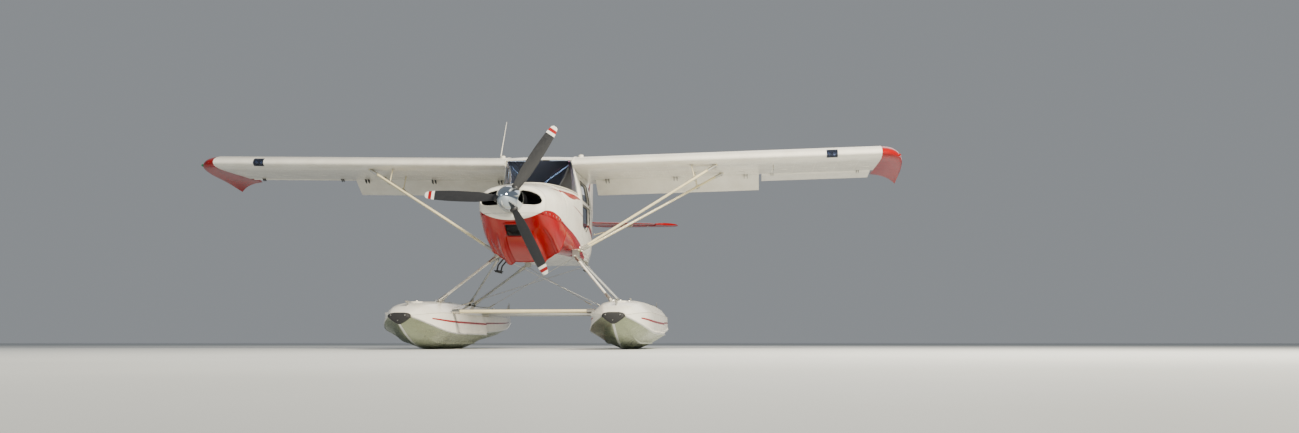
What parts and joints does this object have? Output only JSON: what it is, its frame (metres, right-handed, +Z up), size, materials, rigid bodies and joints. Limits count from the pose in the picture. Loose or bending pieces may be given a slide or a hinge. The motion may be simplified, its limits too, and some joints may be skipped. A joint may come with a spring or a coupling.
{
  "type": "twin-float light aircraft",
  "caption": "High-wing, strut-braced light floatplane with stepped twin floats, hinged control surfaces, lifting cabin doors and a turning propeller.",
  "frame": {"origin": "on the ground under the middle of the aircraft's length, between the floats", "axes": "+X towards the left wing tip, +Y aft, +Z up"},
  "size_m": [10.024, 7.362, 3.345],
  "materials": {
    "white_paint": "gloss paint",
    "cream_paint": "gloss paint",
    "red_paint": "gloss paint",
    "grey_paint": "satin paint",
    "float_metal": "bare sheet",
    "polished_metal": "polished",
    "blade_paint": "satin paint",
    "engine_metal": "cast",
    "black_rubber": "matt",
    "tinted_glass": "clear",
    "seat_leather": "satin",
    "panel_black": "matt"
  },
  "bodies": {
    "airframe": {"wing_left": "white_paint", "wing_right": "white_paint", "wing_tip_left": "red_paint", "wing_tip_right": "red_paint", "float_left": "float_metal", "float_right": "float_metal", "bow_bumper_left": "black_rubber", "bow_bumper_right": "black_rubber", "spreader_bar_front": "cream_paint", "spreader_bar_rear": "cream_paint", "fuselage_front": "white_paint", "cabin_side_left": "white_paint", "cabin_side_right": "white_paint", "rear_window_left": "tinted_glass", "rear_window_right": "tinted_glass", "cabin_floor": "grey_paint", "cabin_roof": "white_paint", "windscreen": "tinted_glass", "tail_cone": "white_paint", "stabiliser": "red_paint", "fin": "white_paint", "tail_strut_left": "cream_paint", "tail_strut_right": "cream_paint", "cowling_upper": "white_paint", "cowling_lower": "red_paint", "engine": "engine_metal", "wing_strut_front_left": "cream_paint", "wing_strut_front_right": "cream_paint", "wing_strut_rear_left": "cream_paint", "wing_strut_rear_right": "cream_paint", "float_strut_front_left": "white_paint", "float_strut_front_right": "white_paint", "float_strut_diagonal_left": "grey_paint", "float_strut_diagonal_right": "grey_paint", "float_strut_rear_left": "grey_paint", "float_strut_rear_right": "grey_paint", "aerial": "white_paint", "front_seat_left": "seat_leather", "front_seat_right": "seat_leather", "rear_seat": "seat_leather", "instrument_panel": "panel_black"},
    "propeller": {"spinner": "polished_metal", "propeller_blade_1": "blade_paint", "propeller_blade_2": "blade_paint", "propeller_blade_3": "blade_paint"},
    "aileron_left": {"aileron_left": "white_paint"},
    "aileron_right": {"aileron_right": "white_paint"},
    "flap_left": {"flap_left": "white_paint"},
    "flap_right": {"flap_right": "white_paint"},
    "elevator": {"elevator": "red_paint"},
    "rudder": {"rudder": "white_paint"},
    "door_left": {"door_left": "white_paint", "door_glass_left": "tinted_glass"},
    "door_right": {"door_right": "white_paint", "door_glass_right": "tinted_glass"},
    "water_rudder_left": {"water_rudder_left": "float_metal"},
    "water_rudder_right": {"water_rudder_right": "float_metal"}
  },
  "joints": [
    {"name": "propeller_spin", "type": "hinge", "parent": "airframe", "child": "propeller", "pos_m": [0, -3.404, 1.8], "axis": [0, 1, 0], "continuous": true},
    {"name": "aileron_left_hinge", "type": "hinge", "parent": "airframe", "child": "aileron_left", "pos_m": [3.05, -0.317, 2.54788], "axis": [0.9998, 0, 0.0216], "range_deg": [-12, 28]},
    {"name": "aileron_right_hinge", "type": "hinge", "parent": "airframe", "child": "aileron_right", "pos_m": [-3.05, -0.317, 2.54788], "axis": [0.9998, 0, -0.0216], "range_deg": [-28, 12]},
    {"name": "flap_left_hinge", "type": "hinge", "parent": "airframe", "child": "flap_left", "pos_m": [0.62, -0.317, 2.49529], "axis": [0.9998, 0, 0.0216], "range_deg": [-5, 35]},
    {"name": "flap_right_hinge", "type": "hinge", "parent": "airframe", "child": "flap_right", "pos_m": [-0.62, -0.317, 2.49529], "axis": [0.9998, 0, -0.0216], "range_deg": [-5, 35]},
    {"name": "elevator_hinge", "type": "hinge", "parent": "airframe", "child": "elevator", "pos_m": [0, 3.336, 2.18], "axis": [1, 0, 0], "range_deg": [-22, 28]},
    {"name": "rudder_hinge", "type": "hinge", "parent": "airframe", "child": "rudder", "pos_m": [0, 3.336, 2.8], "axis": [0, 0, 1], "range_deg": [-25, 25]},
    {"name": "door_left_hinge", "type": "hinge", "parent": "airframe", "child": "door_left", "pos_m": [0.492, -0.8, 2.41], "axis": [0, -1, 0], "range_deg": [0, 80]},
    {"name": "door_right_hinge", "type": "hinge", "parent": "airframe", "child": "door_right", "pos_m": [-0.492, -0.8, 2.41], "axis": [0, 1, 0], "range_deg": [0, 80]},
    {"name": "water_rudder_left_steer", "type": "hinge", "parent": "airframe", "child": "water_rudder_left", "pos_m": [1.277, 2.186, 0.45], "axis": [0, 0, 1], "range_deg": [-30, 30]},
    {"name": "water_rudder_right_steer", "type": "hinge", "parent": "airframe", "child": "water_rudder_right", "pos_m": [-1.277, 2.186, 0.45], "axis": [0, 0, 1], "range_deg": [-30, 30]}
  ],
  "couplings": [
    {"joint": "aileron_right_hinge", "follows": "aileron_left_hinge", "ratio": -1},
    {"joint": "flap_right_hinge", "follows": "flap_left_hinge", "ratio": 1},
    {"joint": "water_rudder_left_steer", "follows": "rudder_hinge", "ratio": 1},
    {"joint": "water_rudder_right_steer", "follows": "rudder_hinge", "ratio": 1}
  ]
}
